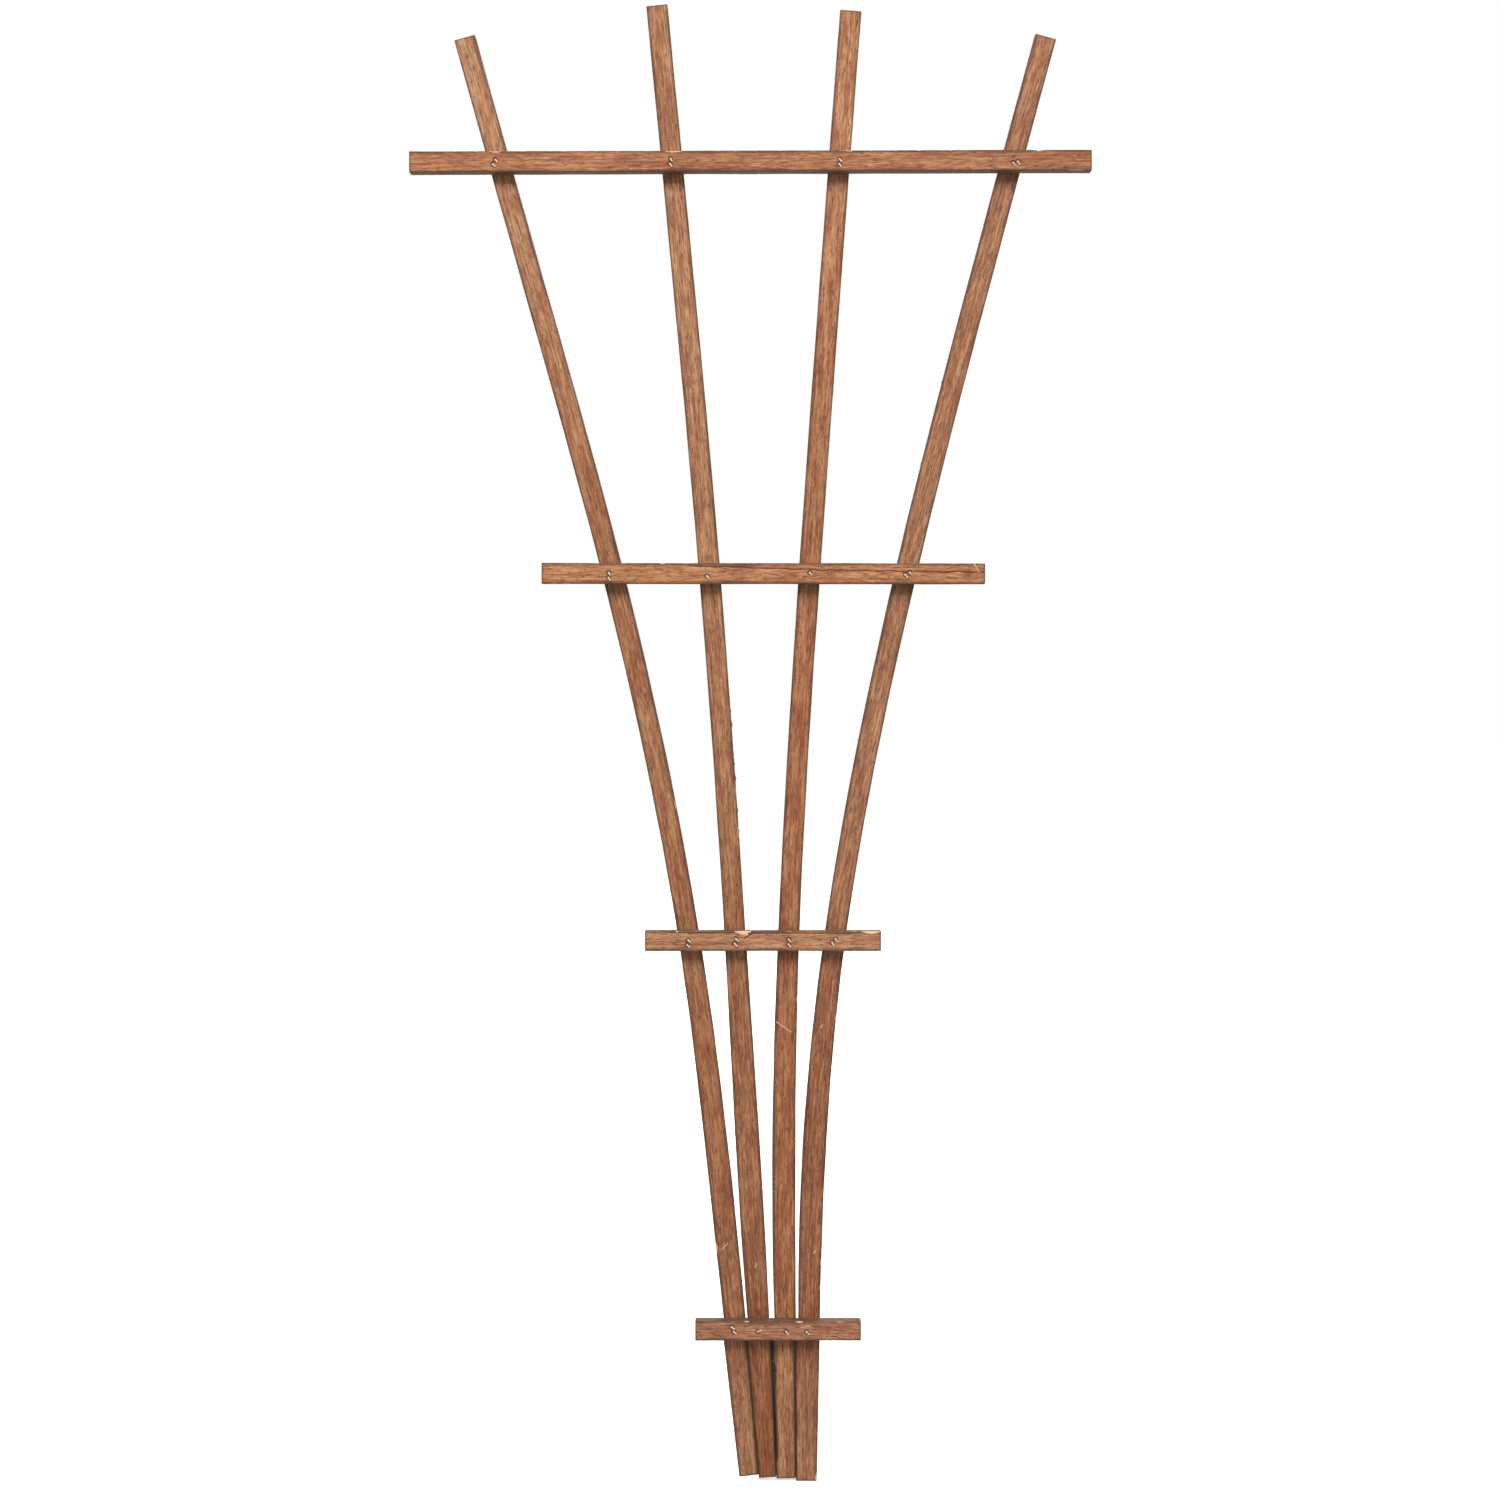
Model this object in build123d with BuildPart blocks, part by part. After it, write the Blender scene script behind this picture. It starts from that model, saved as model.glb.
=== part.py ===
from build123d import *

# A flat fan trellis. Four springy slats stand side by side in a tight foot and spread like a fan. Four
# crossbars lie across their front faces, and a wire staple holds each of the sixteen crossings: its crown
# is sunk in the back of the upright, and its two legs go through both slats and are clinched over on the
# front of the crossbar.
# Millimetres. +Z is up, +X is to the right seen from the front, and -Y is the front. The origin is under
# the middle of the trellis, at the level of its lowest foot.

import os
from math import cos, radians, sin, tan

os.makedirs("parts", exist_ok=True)

# ---- Overall ----
overall_height = 1524.0  # lowest foot to highest tip, a 60 inch trellis

# ---- Slats ----
slat_thickness = 11.1
upright_width = 22.2
arris_radius = 0.6  # the slats' long edges are eased by sanding
end_chamfer = 0.4  # the sawn ends of the crossbars

# ---- Crossbars, from the top down ----
bar_names = ("top", "second", "third", "bottom")
bar_widths = (21.6, 21.4, 20.8, 20.0)
bar_overhangs = ((91.1, 80.9), (72.2, 80.4), (44.9, 47.0), (41.1, 53.0))  # past the outer uprights
bar_tilts = (0.15, -0.05, 0.0, 0.0)  # degrees, right end up
top_bar_drop = 165.1  # centre line below the highest tip
second_bar_drop = 423.0  # centre line below the top crossbar's
third_bar_height = 558.8  # centre line above the lowest foot
bottom_bar_height = 158.9  # centre line above the lowest foot

# ---- Uprights, from left to right ----
upright_names = ("far_left", "left", "right", "far_right")
tip_drops = (31.5, 0.0, 5.7, 30.4)  # each tip, below the highest one
foot_rises = (4.6, 3.1, 2.6, 0.0)  # each foot, above the lowest one
foot_trims = (2.1, 4.4, 2.3, 0.8)  # how much narrower each foot is, so that the four sit tight
throat_swells = (1.4, 2.6, 2.6, 3.3)  # how much wider each is at the throat, where the gaps close
throat_drop = 10.0  # below the bottom crossbar's centre line, so that it covers the swelling

# Clear gaps between neighbouring uprights at each level, and how far the middle of the fan stands to the
# right of where it is at the top crossbar: the fan isn't quite plumb.
tip_gaps = (176.3, 178.1, 179.0)
bar_gaps = ((155.8, 150.3, 155.4), (77.7, 80.8, 77.2), (25.5, 32.7, 25.5), (2.1, 5.1, 2.2))
throat_gaps = (0.3, 0.3, 0.3)
foot_gaps = (0.3, 0.3, 0.3)
tip_drift = -0.3
bar_drifts = (0.0, 4.0, 6.7, 17.3)
throat_drift = 16.1
foot_drift = 23.0

# ---- Staples ----
wire = 1.2
leg_spacing = 5.1
crown_bend = 0.9  # centre-line radius of the crown's two corners
crown_sunk = 0.1  # below the upright's back face
clinch_bend = 0.75  # centre-line radius where a leg is hammered over
clinch_length = 3.2
point_chamfer = 0.3
blind_depth = 3.0  # a leg that doesn't come through stops this far inside the crossbar's face
hole_clearance = 0.03  # round the wire

# How each staple was driven, a row for each crossbar and an entry for each upright: how far its middle is
# from the crossing, to the right and up, the turn of its crown, the direction its legs are clinched in,
# both in degrees from the horizontal, and which of its legs came through the crossbar.
through = ("upper", "lower")
staples_as_driven = (
    (
        (-3.9, -0.5, 60, -49, through),
        (-1.3, -0.1, 83, -60, through),
        (-0.3, -1.0, 84, -56, through),
        (2.5, -2.0, 12, -62, through),
    ),
    (
        (-3.4, -1.9, 88, -60, through),
        (-1.6, -0.1, 70, -54, ("lower",)),
        (-0.5, -1.5, 80, -53, ("upper",)),
        (0.8, 0.0, 28, -55, through),
    ),
    (
        (-1.0, -1.4, 80, -40, through),
        (0.1, 0.1, 76, -45, through),
        (-0.2, -0.6, 88, -50, through),
        (-1.5, 0.5, 45, -58, through),
    ),
    (
        (-2.7, 2.0, 114, -35, through),
        (-1.2, 2.0, 90, 25, ("lower",)),
        (0.6, 2.3, 86, -50, ("lower",)),
        (-2.9, 2.0, 90, -40, ("lower",)),
    ),
)

# ---- Worked out from the sizes above ----
bar_numbers = range(len(bar_names))
top_bar_height = overall_height - top_bar_drop
bar_heights = (top_bar_height, top_bar_height - second_bar_drop, third_bar_height, bottom_bar_height)
full_widths = [upright_width for name in upright_names]
throat_widths = [upright_width + swell for swell in throat_swells]
foot_widths = [upright_width - trim for trim in foot_trims]
throat_height = bottom_bar_height - throat_drop

# The slats meet in one plane, placed so that the whole depth, clinched legs included, is centred.
clinch_stand = clinch_bend + wire / 2
joint_y = clinch_stand / 2
front_y = joint_y - slat_thickness
back_y = joint_y + slat_thickness

# The top crossbar is the widest piece, and it is centred on the origin.
fan_middle = (bar_overhangs[0][0] - bar_overhangs[0][1]) / 2


def places_across(widths, gaps, drift):
    """Where the uprights' centre lines are at one level."""
    places = [0.0]
    for k, gap in enumerate(gaps):
        places.append(places[-1] + widths[k] / 2 + gap + widths[k + 1] / 2)
    middle = (places[0] + places[-1]) / 2
    return [place - middle + fan_middle + drift for place in places]


tip_places = places_across(full_widths, tip_gaps, tip_drift)
throat_places = places_across(throat_widths, throat_gaps, throat_drift)
foot_places = places_across(foot_widths, foot_gaps, foot_drift)
crossings = [places_across(full_widths, gaps, drift) for gaps, drift in zip(bar_gaps, bar_drifts)]


def face_plane(y):
    """The sketch plane at a depth: x across, y up, facing the front."""
    return Plane(origin=(0, y, 0), x_dir=(1, 0, 0), z_dir=(0, -1, 0))


def end_station(place, level, crossing, width):
    """The middle of a square-cut end, past a crossing, whose outermost corner is at the given level."""
    run = Vector(place, level) - crossing
    corner = width / 2 * abs(run.normalized().X)
    return Vector(place, level - corner if run.Y > 0 else level + corner)


def edge_points(stations, widths, side):
    """Points of one long edge: half a width to one side of each station, square to the slat there."""
    points = []
    for k, station in enumerate(stations):
        before = stations[max(k - 1, 0)]
        after = stations[min(k + 1, len(stations) - 1)]
        along = (after - before).normalized()
        points.append(station + Vector(along.Y, -along.X) * (side * widths[k] / 2))
    return points


def legs_of(bar, upright):
    """Where a staple's upper and lower leg go in, across and up."""
    right, up, turn = staples_as_driven[bar][upright][:3]
    place = crossings[bar][upright]
    height = bar_heights[bar] + place * tan(radians(bar_tilts[bar]))
    middle = Vector(place + right, height + up)
    half = Vector(cos(radians(turn)), sin(radians(turn))) * (leg_spacing / 2)
    return {"upper": middle + half, "lower": middle - half}


def long_edges(piece, axis):
    """A slat's edges that run the length of it."""
    return [edge for edge in piece.edges() if abs((edge % 0.5).dot(axis.direction)) > 0.7]


# ---- Uprights ----
# Between the top and bottom crossbars a slat bows from crossing to crossing. Above them it runs straight.
# Behind the bottom one it swells to meet its neighbours, and from there it tapers straight to its foot.
for u, upright_name in enumerate(upright_names):
    bowed = [Vector(crossings[bar][u], bar_heights[bar]) for bar in bar_numbers]
    tip = end_station(tip_places[u], overall_height - tip_drops[u], bowed[0], upright_width)
    throat = Vector(throat_places[u], throat_height)
    foot = end_station(foot_places[u], foot_rises[u], throat, foot_widths[u])
    stations = [tip, *bowed, throat, foot]
    widths = [upright_width] * (len(stations) - 2) + [throat_widths[u], foot_widths[u]]
    left_edge = edge_points(stations, widths, 1)
    right_edge = edge_points(stations, widths, -1)

    with BuildPart() as upright:
        with BuildSketch(face_plane(joint_y)):
            with BuildLine():
                for edge in (left_edge, right_edge):
                    head_run = Line(edge[0], edge[1])
                    foot_run = Line(edge[-2], edge[-1])
                    Spline(*edge[1:-2], tangents=(head_run % 1, foot_run % 0))
                    Spline(*edge[-3:-1], tangents=(foot_run % 0, foot_run % 0))
                Line(left_edge[0], right_edge[0])
                Line(left_edge[-1], right_edge[-1])
            make_face()
        extrude(amount=-slat_thickness)
        fillet(long_edges(upright, Axis.Z), radius=arris_radius)
        # A sunk slot in the back for each staple's crown, and a hole for each leg.
        for bar in bar_numbers:
            legs = legs_of(bar, u)
            with BuildSketch(face_plane(back_y)):
                with Locations((legs["upper"] + legs["lower"]) / 2):
                    SlotCenterToCenter(
                        leg_spacing, wire + 2 * hole_clearance, rotation=staples_as_driven[bar][u][2]
                    )
            extrude(amount=crown_sunk + wire / 2 + crown_bend, mode=Mode.SUBTRACT)
            with BuildSketch(face_plane(back_y)):
                with Locations(*legs.values()):
                    Circle(wire / 2 + hole_clearance)
            extrude(amount=slat_thickness, mode=Mode.SUBTRACT)
    node = f"{upright_name}_upright"
    upright.part.label = node
    export_step(upright.part, f"parts/{node}.step")

# ---- Crossbars ----
for bar, bar_name in enumerate(bar_names):
    left_end = crossings[bar][0] - bar_overhangs[bar][0]
    right_end = crossings[bar][-1] + bar_overhangs[bar][1]
    bar_middle = (left_end + right_end) / 2
    middle_height = bar_heights[bar] + bar_middle * tan(radians(bar_tilts[bar]))

    with BuildPart() as crossbar:
        with BuildSketch(face_plane(joint_y)):
            with Locations((bar_middle, middle_height)):
                Rectangle(right_end - left_end, bar_widths[bar], rotation=bar_tilts[bar])
        extrude(amount=slat_thickness)
        fillet(long_edges(crossbar, Axis.X), radius=arris_radius)
        for end_face in (crossbar.faces().sort_by(Axis.X)[0], crossbar.faces().sort_by(Axis.X)[-1]):
            chamfer(end_face.edges(), length=end_chamfer)
        for u in range(len(upright_names)):
            came_through = staples_as_driven[bar][u][4]
            for which, leg in legs_of(bar, u).items():
                depth = slat_thickness if which in came_through else slat_thickness - blind_depth
                with BuildSketch(face_plane(joint_y)):
                    with Locations(leg):
                        Circle(wire / 2 + hole_clearance)
                extrude(amount=depth, mode=Mode.SUBTRACT)
    node = f"{bar_name}_crossbar"
    crossbar.part.label = node
    export_step(crossbar.part, f"parts/{node}.step")

# ---- Staples ----
crown_y = back_y - crown_sunk - wire / 2
clinch_y = front_y - clinch_bend
for bar, bar_name in enumerate(bar_names):
    for u, upright_name in enumerate(upright_names):
        clinch_turn, came_through = staples_as_driven[bar][u][3:]
        clinch_direction = Vector(cos(radians(clinch_turn)), 0, sin(radians(clinch_turn)))
        clinch = clinch_direction * (clinch_length + clinch_bend)
        halves = []
        for which, leg in legs_of(bar, u).items():
            crown_corner = Vector(leg.X, crown_y, leg.Y)
            if which in came_through:
                clinch_corner = Vector(leg.X, clinch_y, leg.Y)
                half = [(crown_corner, crown_bend), (clinch_corner, clinch_bend), (clinch_corner + clinch, None)]
            else:
                half = [(crown_corner, crown_bend), (Vector(leg.X, front_y + blind_depth, leg.Y), None)]
            halves.append(half)
        route = halves[0][::-1] + halves[1]

        with BuildPart() as staple:
            with BuildLine() as bent_wire:
                FilletPolyline(*[point for point, bend in route], radius=[bend for point, bend in route[1:-1]])
            with BuildSketch(Plane(origin=bent_wire.line @ 0, z_dir=bent_wire.line % 0)):
                Circle(wire / 2)
            sweep()
            ends = staple.faces().filter_by(GeomType.PLANE)
            chamfer(ends.edges(), length=point_chamfer)
        node = f"{bar_name}_{upright_name}_staple"
        staple.part.label = node
        export_step(staple.part, f"parts/{node}.step")
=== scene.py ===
# A flat fan trellis of eight stained redwood slats, stapled at sixteen crossings. The slats are ripped on a
# saw, their arrises only lightly eased, and they have the chips, splinters and wane of plain garden wood.
# Metres. +Z is up, +X is to the right seen from the front, and -Y is the front.
#
# Each slat is made straight, in its own coordinates: X across it, Y through it from its front to its back,
# and Z along it, from an upright's foot or a crossbar's left end. Then it is laid along the line that the
# frame gives it. Across, -1 is an upright's left or a crossbar's top, and 1 its right or its underside.

from bisect import bisect_right
from math import ceil, exp, radians, sqrt

import bmesh
import bpy
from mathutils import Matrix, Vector, noise


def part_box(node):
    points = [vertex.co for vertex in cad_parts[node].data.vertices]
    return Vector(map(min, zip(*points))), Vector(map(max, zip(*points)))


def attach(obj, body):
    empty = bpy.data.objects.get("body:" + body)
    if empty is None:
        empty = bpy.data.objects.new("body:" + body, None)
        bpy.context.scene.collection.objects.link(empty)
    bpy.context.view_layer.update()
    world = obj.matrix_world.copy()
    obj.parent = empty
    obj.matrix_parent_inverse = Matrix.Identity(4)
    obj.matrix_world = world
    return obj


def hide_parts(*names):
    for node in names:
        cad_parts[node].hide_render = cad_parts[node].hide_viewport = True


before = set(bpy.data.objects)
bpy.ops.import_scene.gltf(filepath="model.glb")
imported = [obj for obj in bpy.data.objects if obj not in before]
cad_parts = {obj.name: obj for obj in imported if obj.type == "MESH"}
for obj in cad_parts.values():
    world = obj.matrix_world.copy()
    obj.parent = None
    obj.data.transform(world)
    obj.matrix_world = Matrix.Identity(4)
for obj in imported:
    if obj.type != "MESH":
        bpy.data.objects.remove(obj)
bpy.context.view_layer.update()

MM = 0.001
Y_AXIS = Vector((0, 1, 0))
LEFT = TOP = -1
RIGHT = UNDER = 1
FRONT, BACK = -1, 1

# ---- The slats' make ----
SECTION_CELL = 1.6 * MM  # the mesh's cells, across the section and along the slat
LENGTH_CELL = 1.5 * MM
MARK_CUTS = 3  # how much finer the mesh is round a mark
ARRIS = 0.6 * MM  # the eased long edges
ARRIS_STEPS = 3
RIM = 0.3 * MM  # the edges of the sawn ends
SAW_WANDER = 0.25 * MM  # how far a sawn edge strays from true
FACE_WANDER = 0.10 * MM
WANDER_PITCH = 55 * MM
WANDER_INWARD = 0.65  # how much of the wander is inward, so that the slat stays in its sawn size
FUZZ = 0.484 * MM  # how deep the ragged arrises are
FUZZ_PITCH = 3.5 * MM
FUZZ_START = 0.12  # the noise, from -1 to 1, above which an arris is ragged
ARRIS_REACH = 0.9 * MM  # how far from an arris it is ragged
EDGE_SOAK_AND_SHADE = 4.0 * MM  # how far in from a sawn edge the face is darkened, by soaked-in stain and, on the narrow faces, by painted shade
EDGE_SOAK_AND_SHADE_PITCH = 38 * MM
EDGE_SOAK_AND_SHADE_VARIES = 0.9  # as a share of it
END_SOAK = 2.6 * MM  # and how far in from a sawn end
PRESSED_HEIGHT = 150 * MM  # up to here from the foot, the uprights are pressed together
TONES = ("raw_and_highlight", "dark", "grey", "knot", "sawn", "darkening")  # what the finish shows at each point, painted highlight and painted shade included


# ---- What the frame says ----
def welded_copy(node):
    """A copy of a CAD node's mesh with its loose triangles joined."""
    bm = bmesh.new()
    bm.from_mesh(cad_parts[node].data)
    bmesh.ops.remove_doubles(bm, verts=bm.verts, dist=0.001 * MM)
    return bm


class SlatLine:
    """The line down the middle of a CAD slat: where it runs, and how wide the slat is along it."""

    station_gap = 5 * MM
    end_margin = 15 * MM  # clear of an end that is square to a leaning slat

    def __init__(self, node, axis):
        low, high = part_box(node)
        self.front, self.back = low.y, high.y
        start = low.dot(axis) + self.end_margin
        stop = high.dot(axis) - self.end_margin
        count = ceil((stop - start) / self.station_gap)
        side = Y_AXIS.cross(axis)
        points, spans = [], []
        bm = welded_copy(node)
        for k in range(count + 1):
            level = start + (stop - start) * k / count
            everything = bm.verts[:] + bm.edges[:] + bm.faces[:]
            cut = bmesh.ops.bisect_plane(bm, geom=everything, plane_co=axis * level, plane_no=axis)
            reach = [v.co.dot(side) for v in cut["geom_cut"] if isinstance(v, bmesh.types.BMVert)]
            points.append(axis * level + side * (max(reach) + min(reach)) / 2)
            spans.append(max(reach) - min(reach))
        runs = [(b - a).normalized() for a, b in zip(points, points[1:])]
        widths = [span * run.dot(axis) for span, run in zip(spans, runs + runs[-1:])]
        # The slat runs straight past the first and last stations, to its square ends.
        first = min((v.co - points[0]).dot(runs[0]) for v in bm.verts)
        last = max((v.co - points[-1]).dot(runs[-1]) for v in bm.verts)
        bm.free()
        taper = (widths[1] - widths[0]) / (points[1] - points[0]).length
        self.points = [points[0] + runs[0] * first, *points, points[-1] + runs[-1] * last]
        self.widths = [widths[0] + taper * first, *widths, widths[-1]]
        self.marks = [0.0]
        for a, b in zip(self.points, self.points[1:]):
            self.marks.append(self.marks[-1] + (b - a).length)
        steps = [(b - a).normalized() for a, b in zip(self.points, self.points[1:])]
        self.runs = [(a + b).normalized() for a, b in zip(steps[:1] + steps, steps + steps[-1:])]
        self.length = self.marks[-1]
        self.width = max(self.widths)
        self.half = self.width / 2
        self.darkening = ((0, 0),)  # how much darker and redder it is made, from 0 to 1, at places along the slat
        self.tight = 0.0  # up to here its sawn edges are pressed against its neighbours'

    def darkening_at(self, along):
        """How much darker and redder the slat is made at a place along it."""
        places = [place * MM for place, depth in self.darkening]
        k = bisect_right(places, along)
        if k in (0, len(places)):
            return self.darkening[min(k, len(places) - 1)][1]
        share = (along - places[k - 1]) / (places[k] - places[k - 1])
        return self.darkening[k - 1][1] + (self.darkening[k][1] - self.darkening[k - 1][1]) * share

    def bent(self, place):
        """Where a point of the straight slat goes on the trellis."""
        k = min(max(bisect_right(self.marks, place.z) - 1, 0), len(self.marks) - 2)
        share = (place.z - self.marks[k]) / (self.marks[k + 1] - self.marks[k])
        middle = self.points[k].lerp(self.points[k + 1], share)
        side = Y_AXIS.cross(self.runs[k].lerp(self.runs[k + 1], share)).normalized()
        width = self.widths[k] + (self.widths[k + 1] - self.widths[k]) * share
        return middle + side * (place.x * width / self.width) + Y_AXIS * place.y

    def straight(self, place):
        """Where a point on the trellis is on the straight slat."""
        nearest = min(range(len(self.points)), key=lambda k: (self.points[k] - place).length)
        run = self.runs[nearest]
        offset = place - self.points[nearest]
        return Vector((offset.dot(Y_AXIS.cross(run)), place.y, self.marks[nearest] + offset.dot(run)))


def staple_legs(node, front):
    """Where a CAD staple's two legs go through, and whether each one comes out of the front."""
    ring_depth, leg_reach, flush = 0.05 * MM, 0.8 * MM, 0.01 * MM
    corners = [v.co.copy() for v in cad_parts[node].data.vertices]
    behind = [c for c in corners if c.y > 0]
    foremost = min(c.y for c in behind)
    ring = [c for c in behind if c.y < foremost + ring_depth]
    far = max(ring, key=lambda c: (c - ring[0]).length)
    legs = []
    for pole in (ring[0], far):
        nearby = [c for c in ring if (c - pole).length < (far - ring[0]).length / 2]
        middle = sum(nearby, Vector()) / len(nearby)
        flat = Vector((middle.x, 0, middle.z))
        out = any(
            c.y < front + flush and (Vector((c.x, 0, c.z)) - flat).length < leg_reach for c in corners
        )
        legs.append((flat, out))
    return legs


# ---- Marks on a slat ----
class Mark:
    """Something that has happened to a slat: the stretch it is on, how to tell a point near it, and how it
    moves such a point and tones it. Tones are raw wood with a painted highlight on the crossbars' top
    arrises, dark bruise with painted shade in the pressed joints, and grey, from 0 to 1."""

    def __init__(self, low, high, near, change):
        self.low, self.high, self.near, self.change = low, high, near, change


def nowhere_near(p, slat):
    """For a mark that is too slight to need smaller cells."""
    return False


def from_arris(p, slat, side, face):
    """How far a point is from an arris, across the broad face and through the sawn edge."""
    return slat.half - side * p.x, p.y - slat.front if face == FRONT else slat.back - p.y


def flake(side, low, high, across, through, tone="raw_and_highlight", rough=0.5, ends=0.5):
    """A flake gone from a front arris, or its wane. The ends are the share of its length that tapers."""
    low, high, across, through = low * MM, high * MM, across * MM, through * MM

    def near(p, slat):
        u, v = from_arris(p, slat, side, FRONT)
        return u < across + SECTION_CELL and v < through + SECTION_CELL

    def change(p, slat):
        u, v = from_arris(p, slat, side, FRONT)
        inset = min(p.z - low, high - p.z) / ((high - low) * ends)
        fullness = sqrt(min(inset, 1)) * (1 + rough * noise.noise(Vector((p.z / (2 * MM), low / MM, side))))
        lack = fullness - u / across - v / through
        if lack <= 0:
            return None
        push = lack / (across**-2 + through**-2)
        return Vector((-side * push / across, -FRONT * push / through, 0)), {tone: min(1, 4 * lack)}

    return Mark(low, high, near, change)


def rubbed_and_highlit(side, length):
    """A front arris made pale here and there, all along: partly rubbed by handling, partly a painted
    highlight where the top arris catches the light.
    """
    patch_pitch, reach, most = 11 * MM, 1.1 * MM, 0.45

    def change(p, slat):
        u, v = from_arris(p, slat, side, FRONT)
        patchy = noise.noise(Vector((p.z / patch_pitch, side, length))) + 0.35
        # A painted highlight along the top arris, patchy like rubbed wear.
        highlight_and_rub = most * max(patchy, 0) * exp(-((u / reach) ** 2) - (v / reach) ** 2)
        return Vector(), {"raw_and_highlight": highlight_and_rub}

    return Mark(0, length * MM, nowhere_near, change)


def pressed(side):
    """A sawn edge that is pressed against the next slat's, from the foot up, with painted shade darkening
    the joint.
    """
    low, swell, joint_shade_reach = 1.0 * MM, 0.14 * MM, 1.7 * MM

    def change(p, slat):
        u, v = from_arris(p, slat, side, FRONT)
        depth = min(v, slat.back - p.y)
        move = Vector((side * swell, 0, 0)) if u < 0.01 * MM and depth > ARRIS else Vector()
        # Painted shade darkening the joint.
        return move, {"dark": exp(-((u / joint_shade_reach) ** 2))}

    return Mark(low, PRESSED_HEIGHT, nowhere_near, change)


def splinter(side, along, length, stand, lift=2.0):
    """A sliver that stands out from a sawn edge, a little behind the front face."""
    along, length, stand, lift = along * MM, length * MM, stand * MM, lift * MM

    def near(p, slat):
        u, v = from_arris(p, slat, side, FRONT)
        return u < 2 * SECTION_CELL and v < 2 * lift + SECTION_CELL

    def change(p, slat):
        u, v = from_arris(p, slat, side, FRONT)
        rise = (1 - abs(p.z - along) / (length / 2)) * exp(-(((v - lift) / lift) ** 2))
        if u > ARRIS or rise <= 0:
            return None
        return Vector((side * stand * rise, 0, 0)), {"raw_and_highlight": 0.6 * rise}

    return Mark(along - length / 2, along + length / 2, near, change)


def groove(start, end, width, depth, tone="dark", face=FRONT, wiggle=0.0):
    """A crack, a scratch or a crushed slot in a broad face, between two places across and along it."""
    a, b = (Vector((x * MM, 0, z * MM)) for x, z in (start, end))
    width, depth, wiggle = width * MM, depth * MM, wiggle * MM
    line = b - a

    def distance(p):
        share = min(max((Vector((p.x, 0, p.z)) - a).dot(line) / line.length_squared, 0), 1)
        off = wiggle * noise.noise(Vector((p.z / (14 * MM), a.z / MM, 0)))
        return (Vector((p.x + off, 0, p.z)) - a - line * share).length

    def surface(p, slat):
        return p.y < slat.front + ARRIS if face == FRONT else p.y > slat.back - ARRIS

    def near(p, slat):
        return surface(p, slat) and distance(p) < width + 1.2 * SECTION_CELL

    def change(p, slat):
        if not surface(p, slat):
            return None
        fall = exp(-((distance(p) / width) ** 2))
        return Vector((0, -face * depth * fall, 0)), {tone: fall}

    reach = 2.5 * width
    return Mark(min(a.z, b.z) - reach, max(a.z, b.z) + reach, near, change)


def leg_dimple(place):
    """The torn dimple where a staple's leg comes out of a crossbar: fresh wood in the middle, a dark ring
    round it, and fibres raised beyond."""
    fresh_radius, core_radius, dimple_radius = 1.1 * MM, 1.2 * MM, 1.4 * MM
    ring_radius, lip_radius, reach = 2.2 * MM, 2.7 * MM, 5 * MM
    dimple_depth, lip, tear_pitch = 0.6 * MM, 0.2 * MM, 0.9 * MM
    ring_width, lip_width = 0.8 * MM, 0.7 * MM

    def near(p, slat):
        return p.y < slat.front + ARRIS and (Vector((p.x, 0, p.z)) - place).length < 2.4 * lip_radius

    def change(p, slat):
        if p.y > slat.front + ARRIS:
            return None
        away = (Vector((p.x, 0, p.z)) - place).length
        torn = noise.noise(Vector((p.x, place.z, p.z)) / tear_pitch)
        dip = dimple_depth * exp(-((away / dimple_radius) ** 2)) * (1 + 0.4 * torn)
        rise = lip * exp(-(((away - lip_radius) / lip_width) ** 2)) * (1 + torn)
        ring = exp(-(((away - ring_radius) / ring_width) ** 2)) + 0.4 * exp(-((away / core_radius) ** 2))
        fresh = 0.6 * exp(-((away / fresh_radius) ** 2)) * (1 + torn)
        return Vector((0, dip - rise, 0)), {"dark": ring * (0.9 + 0.4 * torn), "raw_and_highlight": fresh}

    return Mark(place.z - reach, place.z + reach, near, change)


class Knot:
    """A small tight knot, which the grain flows round."""

    def __init__(self, across, along, radius):
        self.place, self.radius = Vector((across, 0, along)) * MM, radius * MM

    def weight(self, p):
        off = Vector((p.x, 0, p.z)) - self.place
        return exp(-((off.x / self.radius) ** 2) - (off.z / (1.6 * self.radius)) ** 2)

    def flow(self, p):
        """How far the grain is pushed aside at a point."""
        off = Vector((p.x, 0, p.z)) - self.place
        swell = self.radius * exp(-((off.z / (4 * self.radius)) ** 2) - (off.x / (3 * self.radius)) ** 2)
        return -swell if off.x > 0 else swell


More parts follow.
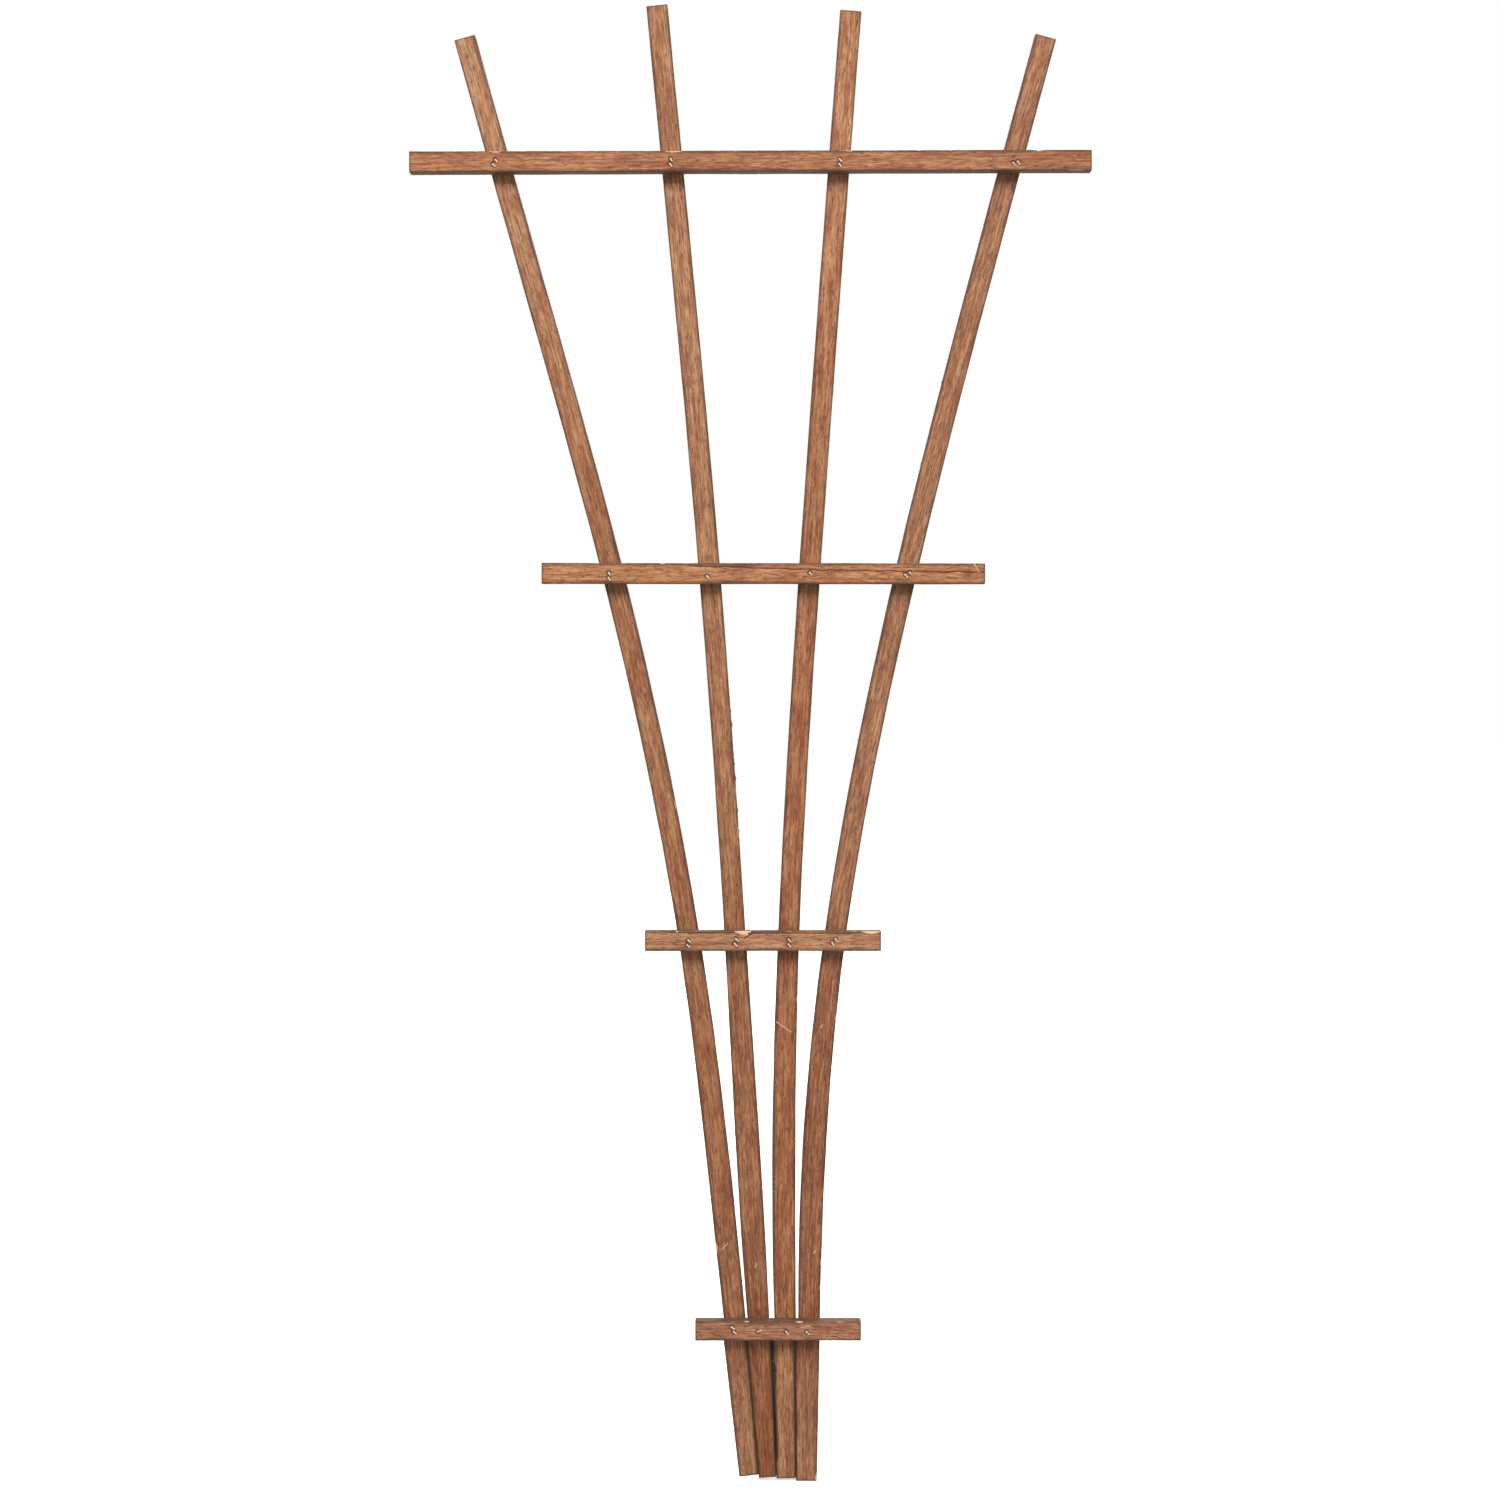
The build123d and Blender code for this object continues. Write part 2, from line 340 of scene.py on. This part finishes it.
# ---- Making a slat ----
def saw_blank(slat):
    """A straight slat as the saw leaves it, with eased arrises, in small cells."""
    bm = bmesh.new()
    thickness = slat.back - slat.front
    bmesh.ops.create_grid(
        bm,
        x_segments=round(slat.width / SECTION_CELL),
        y_segments=round(thickness / SECTION_CELL),
        size=0.5,
    )
    bmesh.ops.scale(bm, verts=bm.verts, vec=(slat.width, thickness, 1))
    bmesh.ops.translate(bm, verts=bm.verts, vec=(0, (slat.front + slat.back) / 2, 0))
    grown = bmesh.ops.extrude_face_region(bm, geom=bm.faces[:], use_keep_orig=True)["geom"]
    far_end = [v for v in grown if isinstance(v, bmesh.types.BMVert)]
    bmesh.ops.translate(bm, verts=far_end, vec=(0, 0, slat.length))
    bmesh.ops.recalc_face_normals(bm, faces=bm.faces)

    def is_arris(edge):
        a, b = (v.co for v in edge.verts)
        at_side = abs(abs(a.x) - slat.half) < 0.01 * MM
        at_face = min(a.y - slat.front, slat.back - a.y) < 0.01 * MM
        return abs(a.z - b.z) > slat.length / 2 and at_side and at_face

    arrises = [e for e in bm.edges if is_arris(e)]
    bmesh.ops.bevel(
        bm, geom=arrises, offset=ARRIS, segments=ARRIS_STEPS, profile=0.5, affect="EDGES", material=-1
    )
    rims = [e for e in bm.edges if sum(abs(f.normal.z) > 0.9 for f in e.link_faces) == 1]
    bmesh.ops.bevel(bm, geom=rims, offset=RIM, segments=1, profile=0.5, affect="EDGES", material=-1)
    long_edges = [e for e in bm.edges if e.calc_length() > slat.length / 2]
    cuts = round(slat.length / LENGTH_CELL) - 1
    bmesh.ops.subdivide_edges(bm, edges=long_edges, cuts=cuts, use_grid_fill=True)
    return bm


def refine(bm, slat, marks):
    """Smaller cells round the marks."""

    def close(p):
        return any(m.low <= p.z <= m.high and m.near(p, slat) for m in marks)

    near = {v for v in bm.verts if close(v.co)}
    edges = [e for e in bm.edges if e.verts[0] in near and e.verts[1] in near]
    bmesh.ops.subdivide_edges(bm, edges=edges, cuts=MARK_CUTS, use_grid_fill=True)


def weather(bm, slat, marks, knots, seed):
    """Moves the blank's surface as sawing, handling and the marks have left it, and keeps what the finish
    needs at each point: its place in the wood; how raw, dark, grey and knotty it is, with a painted
    highlight on the crossbars' top arrises and painted shade in the pressed joints; how much its sawn edges
    are darkened by stain soak and by painted shade on the narrow faces; and how much darker and redder it
    is made along its length.
    What goes into the noise with the side, the face and the seed only keeps one noise from another."""
    grain = bm.verts.layers.float_vector.new("grain")
    tones = {name: bm.verts.layers.float.new(name) for name in TONES}
    for v in bm.verts:
        p = v.co.copy()
        across, through = p.x / slat.half, (p.y - slat.front) / (slat.back - slat.front) * 2 - 1
        at_end = max(1 - min(p.z, slat.length - p.z) / END_SOAK, 0)
        side, face = (1 if across > 0 else -1), (1 if through > 0 else -1)
        # Near a sawn edge the face darkens from soaked-in stain; on the narrow faces the darkening is also
        # painted shade.
        spread = noise.noise(Vector((p.z / EDGE_SOAK_AND_SHADE_PITCH, side * 3.7, seed + 70)))
        edge_soak_and_shade = EDGE_SOAK_AND_SHADE * (1 + EDGE_SOAK_AND_SHADE_VARIES * spread)
        at_side = max(1 - (slat.half - abs(p.x)) / edge_soak_and_shade, 0)
        tone = {"raw_and_highlight": 0.0, "dark": 0.0, "grey": 0.0}
        move = Vector()

        level = p.z / WANDER_PITCH
        free = min(max((p.z - slat.tight) / WANDER_PITCH, 0), 1)
        straying = noise.noise(Vector((level, side * 7.3, seed))) - WANDER_INWARD
        move.x += free * SAW_WANDER * across * straying
        straying = noise.noise(Vector((level, face * 5.1, seed + 40))) - WANDER_INWARD
        move.y += FACE_WANDER * through * straying
        inward, deep = from_arris(p, slat, side, face)
        corner = exp(-((inward / ARRIS_REACH) ** 2) - (deep / ARRIS_REACH) ** 2)
        ragged = max(noise.noise(Vector((p.z / FUZZ_PITCH, side + 3 * face, seed + 9))) - FUZZ_START, 0)
        move += Vector((-side, -face, 0)) * (FUZZ * ragged * corner)
        tone["raw_and_highlight"] = 0.9 * ragged * corner

        for mark in marks:
            if mark.low < p.z < mark.high:
                change = mark.change(p, slat)
                if change:
                    move += change[0]
                    for name, value in change[1].items():
                        tone[name] = max(tone[name], value)

        v.co = p + move
        place = v.co + Vector((sum(knot.flow(p) for knot in knots), 0, 0))
        v[grain] = place
        for name, value in tone.items():
            v[tones[name]] = min(max(value, 0), 1)
        v[tones["knot"]] = max([knot.weight(p) for knot in knots], default=0)
        v[tones["sawn"]] = max(at_side, at_end)
        v[tones["darkening"]] = slat.darkening_at(p.z)


def make_slat(node, seed, material, marks, knots):
    """A finished slat in place of the CAD one."""
    slat = lines[node]
    marks = [*marks, *staple_marks(node)]
    bm = saw_blank(slat)
    refine(bm, slat, marks)
    weather(bm, slat, marks, knots, seed)
    for v in bm.verts:
        v.co = slat.bent(v.co)
    for face in bm.faces:
        face.smooth = True
    mesh = bpy.data.meshes.new(f"{node}_slat")
    bm.to_mesh(mesh)
    bm.free()
    mesh.materials.append(material)
    piece = bpy.data.objects.new(f"{node}_slat", mesh)
    bpy.context.scene.collection.objects.link(piece)
    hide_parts(node)
    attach(piece, "root")


def staple_marks(node):
    """The dimples on a crossbar's front, or the crushed slots in an upright's back."""
    slat = lines[node]
    slot_width, slot_depth = 0.85, 1.25  # millimetres, for the crown
    marks = []
    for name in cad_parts:
        if not name.endswith("_staple"):
            continue
        bar, upright = name.removesuffix("_staple").split("_", 1)
        if node == f"{bar}_crossbar":
            for place, out in staple_legs(name, slat.front):
                if out:
                    here = slat.straight(place)
                    marks.append(leg_dimple(Vector((here.x, 0, here.z))))
        elif node == f"{upright}_upright":
            ends = [slat.straight(place) / MM for place, out in staple_legs(name, slat.front)]
            start, end = ((p.x, p.z) for p in ends)
            marks.append(groove(start, end, slot_width, slot_depth, "dark", BACK))
    return marks


# ---- Finishes ----
def shade(code):
    """An sRGB hex colour as linear light."""
    parts = [int(code[k : k + 2], 16) / 255 for k in (0, 2, 4)]
    return (*((p / 12.92 if p <= 0.04045 else ((p + 0.055) / 1.055) ** 2.4) for p in parts), 1)


def add(tree, kind, inputs, **settings):
    """Adds a node with its settings, and sets its inputs or links them to what other nodes give."""
    node = tree.nodes.new("ShaderNode" + kind)
    for name, value in settings.items():
        setattr(node, name, value)
    for name, value in inputs.items():
        if isinstance(value, bpy.types.Node):
            value = value.outputs[0]
        if isinstance(value, bpy.types.NodeSocket):
            tree.links.new(value, node.inputs[name])
        else:
            node.inputs[name].default_value = value
    return node


MIX_FACTOR, MIX_A, MIX_B, MIXED_COLOUR = 0, 6, 7, 2  # the sockets of a Mix node that mixes colours
ATTRIBUTE_VECTOR, ATTRIBUTE_VALUE = 1, 2
NOISE_COLOUR, WAVE_VALUE = 1, 1
RING_PERIOD = 0.31416  # from ring to ring of a wave pattern of scale 1


def new_tree(name):
    """A new material and its empty node tree."""
    material = bpy.data.materials.new(name)
    material.use_nodes = True
    material.node_tree.nodes.clear()
    return material, material.node_tree


def stained_redwood(name, light, dark, red, ring_gap, pith, lean, seed):
    """Redwood slat, ripped on a saw and dipped in a brown-red garden stain. The stain soaks into the soft
    pale wood and darkens the sawn edges and the end grain, painted shade darkens the narrow faces further,
    the late wood shows as darker lines, and the fibres give fine streaks along the slat. It dries matte,
    and a little rough to the eye.
    The ring gap and the pith's place, across and through, are in millimetres, and the lean in degrees."""
    material, tree = new_tree(name)
    tones = {
        tone: add(tree, "Attribute", {}, attribute_name=tone).outputs[ATTRIBUTE_VALUE]
        for tone in TONES
    }
    grain = add(tree, "Attribute", {}, attribute_name="grain").outputs[ATTRIBUTE_VECTOR]
    place = add(tree, "VectorMath", {0: grain, "Scale": 1 / MM}, operation="SCALE")
    other_wood = add(tree, "VectorMath", {0: place, 1: (0, 0, 1700 * seed)}, operation="ADD")

    # Noise drawn out along the grain, with features of these sizes in millimetres across it and along it.
    # Single fibres and flecks are drawn coarser than they are, so that they show.
    patterns = {}
    for what, across, along, detail in (
        ("drift", 30, 260, 2),
        ("bands", 4, 160, 2),
        ("streaks", 2.2, 46, 4),
        ("fibres", 1.1, 9, 3),
        ("flecks", 1.4, 7, 1),
        ("blotches", 11, 36, 3),
        ("chatter patches", 18, 45, 1),
        ("dust", 3, 25, 2),
    ):
        drawn = (1 / across, 1 / across, 1 / along)
        drawn = add(tree, "VectorMath", {0: other_wood, 1: drawn}, operation="MULTIPLY")
        patterns[what] = add(
            tree, "TexNoise", {"Vector": drawn, "Scale": 1, "Detail": detail, "Roughness": 0.6}
        )

    # The growth rings, round a pith that lies outside the slat and leans a little, so that some run out.
    drift = add(
        tree,
        "VectorMath",
        {0: patterns["drift"].outputs[NOISE_COLOUR], 1: (0.5, 0.5, 0.5)},
        operation="SUBTRACT",
    )
    drift = add(tree, "VectorMath", {0: drift, 1: (9, 9, 0)}, operation="MULTIPLY")
    bent = add(tree, "VectorMath", {0: place, 1: drift}, operation="ADD")
    leaning = (radians(lean), radians(lean / 2), 0)
    bent = add(
        tree, "Mapping", {"Vector": bent, "Location": (-pith[0], -pith[1], 0), "Rotation": leaning}
    )
    rings = add(
        tree,
        "TexWave",
        {"Vector": bent, "Scale": RING_PERIOD / ring_gap},
        wave_type="RINGS",
        rings_direction="Z",
        wave_profile="SAW",
    ).outputs[WAVE_VALUE]
    late = add(
        tree,
        "MapRange",
        {"Value": rings, "From Min": 0.35, "From Max": 0.92},
        interpolation_type="SMOOTHSTEP",
    )
    uneven = add(tree, "MapRange", {"Value": patterns["bands"], "From Min": 0.35, "From Max": 0.62})
    late_wood = add(tree, "Math", {0: late, 1: uneven}, operation="MULTIPLY")

    # Saw marks square to the slat, about 2 mm apart, in patches.
    chatter = add(tree, "VectorMath", {0: other_wood, 1: (0.25, 0.25, 1)}, operation="MULTIPLY")
    chatter = add(
        tree,
        "TexWave",
        {"Vector": chatter, "Scale": RING_PERIOD / 2.1, "Distortion": 3.5, "Detail": 2, "Detail Scale": 2},
        wave_type="BANDS",
        bands_direction="Z",
    ).outputs[WAVE_VALUE]
    patches = add(
        tree, "MapRange", {"Value": patterns["chatter patches"], "From Min": 0.5, "From Max": 0.68}
    )
    chatter = add(tree, "Math", {0: chatter, 1: patches}, operation="MULTIPLY")

    dusty = add(tree, "Math", {0: patterns["dust"], 1: tones["sawn"]}, operation="MULTIPLY")

    # Each layer goes over the last where its pattern passes from the first value to the second.
    wood = add(tree, "RGB", {})
    wood.outputs[0].default_value = shade(light)
    wood = wood.outputs[0]
    for pattern, start, full, most, blend, colour in (
        (patterns["streaks"], 0.34, 0.68, 0.90, "MIX", dark),
        (late_wood, 0.00, 1.00, 0.62, "MIX", red),
        (patterns["blotches"], 0.46, 0.66, 0.60, "MIX", red),
        (patterns["blotches"], 0.46, 0.30, 0.28, "MIX", light),
        (patterns["fibres"], 0.46, 0.66, 0.62, "MIX", "65392A"),
        (patterns["fibres"], 0.46, 0.28, 0.45, "MIX", "DCA678"),
        (patterns["flecks"], 0.63, 0.71, 0.65, "MIX", "4A2A1C"),
        (chatter, 0.00, 1.00, 0.30, "MIX", "5E3626"),
        # darker and redder at the places listed for each upright
        (tones["darkening"], 0.00, 1.00, 1.00, "MULTIPLY", "D3AA90"),
        (tones["knot"], 0.25, 0.70, 0.62, "MIX", "6A3A26"),  # darkest round its rim
        (tones["knot"], 0.70, 0.95, 0.50, "MIX", "8A5034"),
        (tones["sawn"], 0.05, 0.95, 0.82, "MIX", "48301F"),  # has soaked up more stain; on the narrow faces, the crossbars' tops among them, it is also painted shade
        (dusty, 0.45, 0.70, 0.30, "MIX", "8F7B6B"),
        (tones["grey"], 0.00, 0.80, 0.85, "MIX", "6C5646"),
        # dark marks, with painted shade in the pressed joints
        (tones["dark"], 0.15, 0.95, 0.85, "MIX", "381F15"),
        # pale raw wood, with a painted highlight on the crossbars' top arrises
        (tones["raw_and_highlight"], 0.12, 0.65, 0.85, "MIX", "E2BE98"),
    ):
        amount = add(
            tree,
            "MapRange",
            {"Value": pattern, "From Min": start, "From Max": full, "To Max": most},
            interpolation_type="SMOOTHSTEP" if blend == "MIX" else "LINEAR",
        )
        wood = add(
            tree,
            "Mix",
            {MIX_FACTOR: amount, MIX_A: wood, MIX_B: shade(colour)},
            data_type="RGBA",
            blend_type=blend,
        ).outputs[MIXED_COLOUR]

    relief = None
    for pattern, height in (
        (late_wood, 0.5),
        (patterns["streaks"], 1.2),
        (patterns["fibres"], 1.1),
        (chatter, 0.6),
    ):
        relief = add(
            tree, "Math", {0: pattern, 1: height, 2: relief or 0.0}, operation="MULTIPLY_ADD"
        )
    normal = add(tree, "Bump", {"Height": relief, "Strength": 0.55, "Distance": 0.35 * MM})
    roughness = add(
        tree,
        "MapRange",
        {"Value": patterns["streaks"], "From Min": 0.3, "From Max": 0.7, "To Min": 0.62, "To Max": 0.84},
    )
    surface = add(
        tree,
        "BsdfPrincipled",
        {"Base Color": wood, "Roughness": roughness, "Normal": normal, "Specular IOR Level": 0.35},
    )
    add(tree, "OutputMaterial", {"Surface": surface})
    return material


def galvanised_wire(name):
    """Zinc-plated staple wire, drawn and bent cold. It glints along the wire, with dull spots where the
    zinc has gone white and brown ones where stain and rust have caught. Its pale cream colour is the zinc
    lightened with painted sheen."""
    material, tree = new_tree(name)
    place = add(tree, "TexCoord", {}).outputs["Object"]
    spots = add(tree, "TexNoise", {"Vector": place, "Scale": 1 / (1.6 * MM), "Detail": 3, "Roughness": 0.6})
    fine = add(tree, "TexNoise", {"Vector": place, "Scale": 1 / (0.3 * MM), "Detail": 2})
    # A pale cream: the zinc's colour lightened with painted sheen.
    zinc_and_sheen = shade("F6E8DA")
    for start, full, most, colour in ((0.50, 0.66, 0.45, "B9ADA2"), (0.60, 0.74, 0.70, "7A4A33")):
        amount = add(
            tree, "MapRange", {"Value": spots, "From Min": start, "From Max": full, "To Max": most}
        )
        zinc_and_sheen = add(
            tree, "Mix", {MIX_FACTOR: amount, MIX_A: zinc_and_sheen, MIX_B: shade(colour)}, data_type="RGBA"
        ).outputs[MIXED_COLOUR]
    roughness = add(
        tree,
        "MapRange",
        {"Value": spots, "From Min": 0.35, "From Max": 0.7, "To Min": 0.28, "To Max": 0.6},
    )
    normal = add(tree, "Bump", {"Height": fine, "Strength": 0.25, "Distance": 0.05 * MM})
    surface = add(
        tree,
        "BsdfPrincipled",
        {"Base Color": zinc_and_sheen, "Metallic": 0.2, "Roughness": roughness, "Normal": normal},
    )
    add(tree, "OutputMaterial", {"Surface": surface})
    return material


# ---- The slats ----
UPRIGHTS = ("far_left_upright", "left_upright", "right_upright", "far_right_upright")
CROSSBARS = ("top_crossbar", "second_crossbar", "third_crossbar", "bottom_crossbar")
lines = {node: SlatLine(node, Vector((0, 0, 1))) for node in UPRIGHTS}
lines.update({node: SlatLine(node, Vector((1, 0, 0))) for node in CROSSBARS})
for node in UPRIGHTS:
    lines[node].tight = PRESSED_HEIGHT

# Millimetres along each slat, from an upright's foot or a crossbar's left end.
marks = {
    "far_left_upright": (
        pressed(RIGHT),
        flake(LEFT, 233, 243, 2.5, 1.5),
        groove((-5, 236), (1, 241), 0.5, 0.2, "raw_and_highlight"),
        flake(RIGHT, 690, 702, 1.2, 0.8),
        splinter(RIGHT, 905, 5, 0.7),
    ),
    "left_upright": (
        pressed(LEFT),
        pressed(RIGHT),
        flake(RIGHT, 660, 676, 1.6, 3.0, "raw_and_highlight"),
        flake(RIGHT, 704, 716, 1.4, 3.5),
        flake(RIGHT, 742, 766, 1.8, 4.0, "grey"),
        splinter(RIGHT, 668, 6, 1.1),
        splinter(RIGHT, 689, 7, 1.3, 3.0),
        splinter(RIGHT, 722, 8, 1.5),
        splinter(RIGHT, 737, 5, 1.0, 3.0),
        splinter(RIGHT, 778, 9, 1.4),
        splinter(RIGHT, 792, 5, 0.9),
        groove((0, 217), (1.5, 221), 0.6, 0.25, "raw_and_highlight"),
    ),
    "right_upright": (
        pressed(LEFT),
        pressed(RIGHT),
        flake(LEFT, 15, 120, 4.6, 3.6, "grey", rough=0.12, ends=0.08),
        flake(LEFT, 88, 176, 8.0, 4.4, "grey", rough=0.12),
        flake(LEFT, 160, 460, 3.2, 3.0, "grey", rough=0.2, ends=0.3),
        flake(RIGHT, 491, 499, 1.8, 1.4),
        groove((-10, 471), (6, 461), 0.5, 0.2, "raw_and_highlight"),
    ),
    "far_right_upright": (
        pressed(LEFT),
        flake(RIGHT, 0, 9, 3.0, 3.0, ends=0.4),
        flake(RIGHT, 196, 203, 1.5, 1.5),
        flake(RIGHT, 222, 230, 1.8, 1.6),
        groove((3, 235), (6, 238), 0.6, 0.2, "raw_and_highlight"),
        flake(RIGHT, 476, 484, 1.8, 1.3),
        groove((-4, 468), (-2, 471), 0.6, 0.25, "raw_and_highlight"),
        splinter(LEFT, 1059, 6, 1.5),
        splinter(LEFT, 1066, 4, 0.9),
        splinter(LEFT, 1146, 7, 1.4),
        groove((7.5, 1345), (8.5, 1500), 0.45, 0.35, "dark", wiggle=1.2),
    ),
    "top_crossbar": (
        rubbed_and_highlit(TOP, 700),
        flake(TOP, 82, 95, 1.6, 2.2),
        flake(TOP, 262, 280, 1.9, 2.6),
        flake(TOP, 446, 456, 1.3, 2.0),
        flake(TOP, 520, 526, 0.8, 1.2),
        flake(TOP, 640, 652, 1.2, 1.6),
        flake(UNDER, 676, 693, 1.8, 1.6),
        splinter(UNDER, 12, 8, 0.8),
    ),
    "second_crossbar": (
        rubbed_and_highlit(TOP, 455),
        groove((-7.6, 150), (-3.2, 300), 0.7, 0.5, "dark", wiggle=1.6),
        groove((-3.2, 300), (-1.0, 454), 0.6, 0.5, "dark", wiggle=1.6),
        groove((-10, 444), (-1, 449), 0.5, 0.15, "raw_and_highlight"),
        flake(UNDER, 9, 17, 1.3, 1.2),
        flake(UNDER, 22, 31, 1.5, 1.2),
        flake(TOP, 120, 128, 1.0, 1.4),
    ),
    "third_crossbar": (
        rubbed_and_highlit(TOP, 242),
        flake(TOP, 91, 110, 2.9, 3.6),
        groove((-8.5, 111), (-2.5, 102), 0.75, 0.6, "dark", wiggle=0.8),
        groove((-8.0, 98), (-7.0, 105), 0.9, 0.2, "raw_and_highlight"),
        groove((-8.6, 20), (-7.9, 210), 0.5, 0.3, "dark", wiggle=0.6),
        flake(TOP, 222, 242, 3.6, 3.4, ends=0.7),
        flake(TOP, 30, 36, 0.9, 1.2),
    ),
    "bottom_crossbar": (
        rubbed_and_highlit(TOP, 170),
        flake(TOP, 103, 111, 1.3, 1.4),
        flake(UNDER, 80, 88, 1.6, 1.4),
        groove((-4, 108), (-5, 118), 0.4, 0.15, "raw_and_highlight", wiggle=1.0),
        flake(TOP, 50, 56, 0.9, 1.2),
    ),
}
knots = {"second_crossbar": (Knot(-0.6, 438, 3.4),), "far_left_upright": (Knot(4, 812, 2.2),)}

# How much darker and redder each upright is made, from 0 to 1, at these places along it.
DARKENING_PLACES = (60, 200, 400, 750, 1000, 1200, 1450)
darkening_amounts = {
    "far_left_upright": (0.3, 0.6, 0.7, 0.4, 0.6, 0.3, 0.2),
    "left_upright": (0.8, 0.6, 0.5, 0.2, 0.1, 0.0, 0.3),
    "right_upright": (0.2, 0.6, 0.6, 0.5, 0.5, 0.4, 0.2),
    "far_right_upright": (0.3, 0.7, 0.6, 0.2, 0.2, 0.3, 0.3),
}

# Each slat is its own piece of timber: its pale, dark and red tones, ring gap, pith, lean and seed.
timber = {
    "far_left_upright": ("D3A478", "9D6744", "A05E3E", 3.1, (14, 46), 1.2, 1),
    "left_upright": ("CE9B6D", "935F3F", "9A583D", 2.6, (-30, 30), 0.9, 2),
    "right_upright": ("D8A475", "9D613F", "A45C3C", 3.4, (6, 22), 1.6, 3),
    "far_right_upright": ("CD9B70", "956043", "99593E", 2.4, (40, 60), 0.7, 4),
    "top_crossbar": ("BF8659", "A0633F", "994F33", 3.2, (22, -34), 1.0, 5),
    "second_crossbar": ("D19564", "B0724A", "A45B3A", 2.8, (-18, -40), 0.8, 6),
    "third_crossbar": ("D29C70", "B07A57", "A46144", 3.0, (30, -26), 1.3, 7),
    "bottom_crossbar": ("C78F68", "A56D4F", "9B573B", 2.7, (-26, -30), 1.1, 8),
}
for node in (*UPRIGHTS, *CROSSBARS):
    upright = node in UPRIGHTS
    axis = Vector((0, 0, 1)) if upright else Vector((1, 0, 0))
    wood = stained_redwood(f"stained_redwood_{node}", *timber[node])
    if upright:
        lines[node].darkening = tuple(zip(DARKENING_PLACES, darkening_amounts[node]))
    make_slat(node, timber[node][6], wood, marks[node], knots.get(node, ()))

# ---- The staples ----
wire = galvanised_wire("galvanised_wire")
for name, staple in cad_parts.items():
    if name.endswith("_staple"):
        for k in range(len(staple.material_slots)):
            staple.material_slots[k].material = wire

# ---- The studio: a pale floor, a white room, and soft lights high in front and behind ----
bpy.ops.mesh.primitive_plane_add(size=60, location=(0, 0, 0))
floor = bpy.context.object
floor.name = "floor"
floor.visible_diffuse = False  # its glow doesn't light the slats from below
paper, tree = new_tree("white_paper")
matte = add(tree, "BsdfDiffuse", {"Color": shade("EDEDED")})
glow = add(tree, "Emission", {"Color": shade("FFFFFF"), "Strength": 0.55})
both = add(tree, "AddShader", {0: matte, 1: glow})
add(tree, "OutputMaterial", {"Surface": both})
floor.data.materials.append(paper)

room = bpy.data.worlds.new("white_room")
bpy.context.scene.world = room
room.use_nodes = True
tree = room.node_tree
tree.nodes.clear()
seen = add(tree, "LightPath", {}).outputs["Is Camera Ray"]
up = add(tree, "SeparateXYZ", {0: add(tree, "TexCoord", {}).outputs["Generated"]}).outputs["Z"]
dim = add(tree, "MapRange", {"Value": up, "From Min": -1, "From Max": 1, "To Min": 0.16, "To Max": 0.62})
soft = add(tree, "Background", {"Color": shade("FFFFFF"), "Strength": dim})
white = add(tree, "Background", {"Color": shade("FFFFFF"), "Strength": 1.0})
seen_or_lit = add(tree, "MixShader", {0: seen, 1: soft, 2: white})
add(tree, "OutputWorld", {"Surface": seen_or_lit})

AIM = Vector((0, 0, 0.85))  # the middle of the trellis, that the lights point at
for name, place, width, height, watts, shown in (
    ("soft_box", (-0.7, -3.4, 5.2), 2.9, 2.4, 330, True),
    ("soft_box_behind", (0.9, 3.2, 3.2), 2.4, 2.4, 120, False),
):
    light = bpy.data.objects.new(name, bpy.data.lights.new(name, "AREA"))
    light.data.shape = "RECTANGLE"
    light.data.size, light.data.size_y = width, height
    light.data.energy = watts
    light.location = place
    light.rotation_euler = (AIM - light.location).to_track_quat("-Z", "Y").to_euler()
    light.visible_camera = shown
    bpy.context.scene.collection.objects.link(light)

# ---- The camera, level and square to the trellis, a little above its middle ----
camera = bpy.data.objects.new("camera", bpy.data.cameras.new("camera"))
camera.data.sensor_width = 36
camera.data.lens = 40.8
camera.location = (0.00985, -1.7533, 0.8240)
camera.rotation_euler = (radians(90), 0, 0)
camera.data.shift_x = -0.0067
camera.data.shift_y = -0.045
bpy.context.scene.collection.objects.link(camera)
bpy.context.scene.camera = camera
bpy.context.scene.view_settings.view_transform = "Standard"
